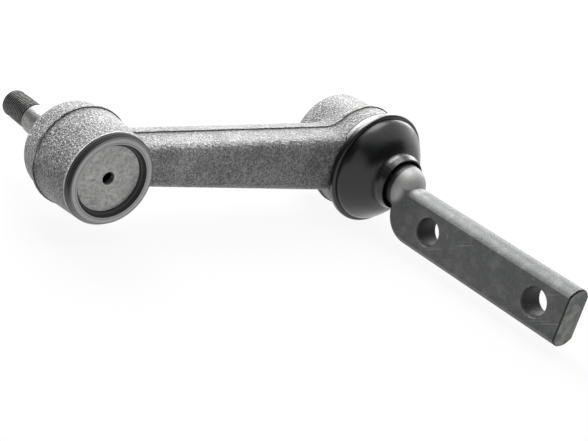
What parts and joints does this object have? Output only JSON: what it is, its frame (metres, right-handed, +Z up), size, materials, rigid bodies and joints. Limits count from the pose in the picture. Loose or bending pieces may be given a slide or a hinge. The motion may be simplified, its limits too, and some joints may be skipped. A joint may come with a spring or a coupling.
{
  "type": "steering arm",
  "caption": "Forged steering idler arm on a greased bracket pivot, with a rubber boot, a flat bolt-on bracket bar and a tapered ball stud.",
  "frame": {"origin": "middle of the two bolt holes, on the middle plane of the bracket bar", "axes": "+X along the bolt holes, away from the ball stud's end; +Y along the pivot and the stud, the way the stud points; +Z up as the arm lies flat"},
  "size_m": [0.2171, 0.2102, 0.0582],
  "materials": {
    "forged_steel": "as forged, rough",
    "bracket_steel": "dark satin, machined and lightly oxidised",
    "stud_steel": "ground taper, dark thread",
    "cover_steel": "plain sheet, matt",
    "bearing_steel": "hardened and ground",
    "spring_steel": "phosphated",
    "boot_rubber": "moulded, satin",
    "seal_rubber": "moulded, matt"
  },
  "bodies": {
    "bracket": {"bracket": "bracket_steel", "near_thrust_washer": "bearing_steel", "far_thrust_washer": "bearing_steel", "disc_spring": "spring_steel", "retaining_ring": "spring_steel"},
    "arm": {"arm": "forged_steel", "near_bush": "bearing_steel", "far_bush": "bearing_steel", "shaft_seal": "seal_rubber", "end_cover": "cover_steel", "dust_boot": "boot_rubber", "stud_seat": "bearing_steel", "preload_spring": "spring_steel", "socket_cover": "cover_steel"},
    "cup": {"pressure_seat": "bearing_steel"},
    "stud": {"ball_stud": "stud_steel"}
  },
  "joints": [
    {"name": "arm_pivot", "type": "hinge", "parent": "bracket", "child": "arm", "pos_m": [0, 0.09915, 0.0111], "axis": [0, 1, 0], "continuous": true},
    {"name": "stud_turn", "type": "hinge", "parent": "arm", "child": "cup", "pos_m": [-0.1654, 0.09915, 0.0111], "axis": [0, 1, 0], "continuous": true},
    {"name": "stud_swing", "type": "hinge", "parent": "cup", "child": "stud", "pos_m": [-0.1654, 0.09915, 0.0111], "axis": [1, 0, 0], "range_deg": [-12, 12]}
  ]
}
